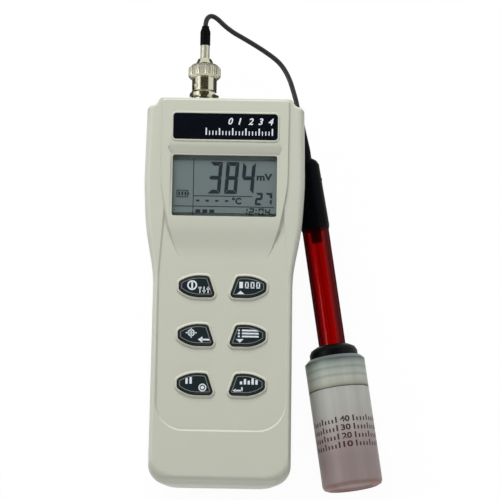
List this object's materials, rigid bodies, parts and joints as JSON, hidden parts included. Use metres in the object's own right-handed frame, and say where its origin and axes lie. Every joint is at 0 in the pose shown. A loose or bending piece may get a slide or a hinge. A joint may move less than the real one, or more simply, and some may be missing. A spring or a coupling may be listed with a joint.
{
  "type": "oxidation-reduction potential meter",
  "caption": "Handheld redox potential meter with display and keys, a bayonet coaxial lead and a red electrode standing in its soaking bottle.",
  "frame": {"origin": "middle of the meter's flat back, which lies on the surface", "axes": "+Z out of the display, +Y towards the socket end, +X to the right of someone reading the display"},
  "size_m": [0.1081, 0.2183, 0.0323],
  "materials": {
    "case_grey": "fine moulded texture, warm light grey",
    "plate_black": "smooth black label plate",
    "window_clear": "clear polished window",
    "lcd_glass": "grey reflective liquid crystal glass",
    "frame_white": "plain white moulding",
    "strip_rubber": "layered contact rubber",
    "board_green": "green solder resist",
    "chip_black": "moulded epoxy",
    "screw_steel": "zinc plated steel",
    "sheet_rubber": "silicone rubber",
    "key_charcoal": "satin charcoal, paler bevel",
    "cell_wrap": "plain printed sleeve",
    "contact_nickel": "nickel plated strip",
    "nickel": "bright nickel plate",
    "insulator_white": "white dielectric",
    "contact_gold": "gold plated contact",
    "jack_black": "moulded jack",
    "gasket_red": "silicone gasket",
    "boot_black": "heat shrunk sleeve",
    "cord_black": "thin screened cable",
    "cap_black": "moulded black cap",
    "tube_red": "clear red barrel",
    "stem_black": "black inner stem",
    "inner_glass": "thin clear glass",
    "wire_silver": "bright silver wire",
    "seat_red": "cast resin",
    "tip_metal": "polished noble metal",
    "junction_white": "porous ceramic",
    "seal_black": "moulded rubber collar",
    "bottle_frost": "frosted translucent",
    "cap_frost": "frosted translucent, greener"
  },
  "bodies": {
    "meter": {"front_case": "case_grey", "rear_case": "case_grey", "case_screws": "screw_steel", "name_plate": "plate_black", "display_window": "window_clear", "lcd_glass": "lcd_glass", "display_frame": "frame_white", "contact_strips": "strip_rubber", "main_board": "board_green", "board_chips": "chip_black", "board_screws": "screw_steel", "keypad_sheet": "sheet_rubber", "batteries": "cell_wrap", "battery_plates": "contact_nickel", "battery_springs": "contact_nickel", "socket_body": "nickel", "socket_insulator": "insulator_white", "socket_contact": "contact_gold", "socket_nut": "nickel", "socket_washer": "nickel", "temperature_jack": "jack_black"},
    "cover": {"battery_cover": "case_grey"},
    "lead": {"plug_body": "nickel", "plug_insulator": "insulator_white", "plug_pin": "contact_gold", "plug_gasket": "gasket_red", "plug_spring": "screw_steel", "crimp_ferrule": "nickel", "plug_boot": "boot_black", "cord": "cord_black", "electrode_boot": "boot_black", "electrode_cap": "cap_black", "electrode_tube": "tube_red", "inner_stem": "stem_black", "inner_tube": "inner_glass", "inner_wire": "wire_silver", "tip_seat": "seat_red", "sensing_tip": "tip_metal", "reference_junction": "junction_white"},
    "coupling": {"coupling_nut": "nickel"},
    "soaking_bottle": {"bottle": "bottle_frost"},
    "seal": {"seal_grommet": "seal_black"},
    "screw_cap": {"bottle_cap": "cap_frost"},
    "key_power": {"key_power": "key_charcoal"},
    "key_mode": {"key_mode": "key_charcoal"},
    "key_calibrate": {"key_calibrate": "key_charcoal"},
    "key_memory": {"key_memory": "key_charcoal"},
    "key_hold": {"key_hold": "key_charcoal"},
    "key_average": {"key_average": "key_charcoal"}
  },
  "joints": [
    {"name": "key_power_press", "type": "slide", "parent": "meter", "child": "key_power", "axis": [0, 0, -1], "range_m": [0, 0.0007], "stiffness_N_per_m": 1200, "springref_m": -0.0002},
    {"name": "key_mode_press", "type": "slide", "parent": "meter", "child": "key_mode", "axis": [0, 0, -1], "range_m": [0, 0.0007], "stiffness_N_per_m": 1200, "springref_m": -0.0002},
    {"name": "key_calibrate_press", "type": "slide", "parent": "meter", "child": "key_calibrate", "axis": [0, 0, -1], "range_m": [0, 0.0007], "stiffness_N_per_m": 1200, "springref_m": -0.0002},
    {"name": "key_memory_press", "type": "slide", "parent": "meter", "child": "key_memory", "axis": [0, 0, -1], "range_m": [0, 0.0007], "stiffness_N_per_m": 1200, "springref_m": -0.0002},
    {"name": "key_hold_press", "type": "slide", "parent": "meter", "child": "key_hold", "axis": [0, 0, -1], "range_m": [0, 0.0007], "stiffness_N_per_m": 1200, "springref_m": -0.0002},
    {"name": "key_average_press", "type": "slide", "parent": "meter", "child": "key_average", "axis": [0, 0, -1], "range_m": [0, 0.0007], "stiffness_N_per_m": 1200, "springref_m": -0.0002},
    {"name": "cover_slide", "type": "slide", "parent": "meter", "child": "cover", "axis": [0, -1, 0], "range_m": [0, 0.008]},
    {"name": "plug_pull", "type": "slide", "parent": "meter", "child": "lead", "axis": [0, 1, 0], "range_m": [0, 0.012]},
    {"name": "coupling_turn", "type": "hinge", "parent": "lead", "child": "coupling", "pos_m": [-0.0101, 0.1, 0.017], "axis": [0, 1, 0], "range_deg": [0, 204]},
    {"name": "bottle_pull", "type": "slide", "parent": "lead", "child": "soaking_bottle", "axis": [0.153, -0.9882, 0], "range_m": [0, 0.046]},
    {"name": "seal_lift", "type": "slide", "parent": "soaking_bottle", "child": "seal", "axis": [-0.153, 0.9882, 0], "range_m": [0, 0.004]},
    {"name": "cap_turn", "type": "hinge", "parent": "seal", "child": "screw_cap", "pos_m": [0.0513, -0.03422, 0.0134], "axis": [-0.153, 0.9882, 0], "range_deg": [0, 481]}
  ],
  "couplings": [
    {"joint": "coupling_turn", "follows": "plug_pull", "rad_per_m": 296.38},
    {"joint": "cap_turn", "follows": "seal_lift", "rad_per_m": 2094.4}
  ]
}
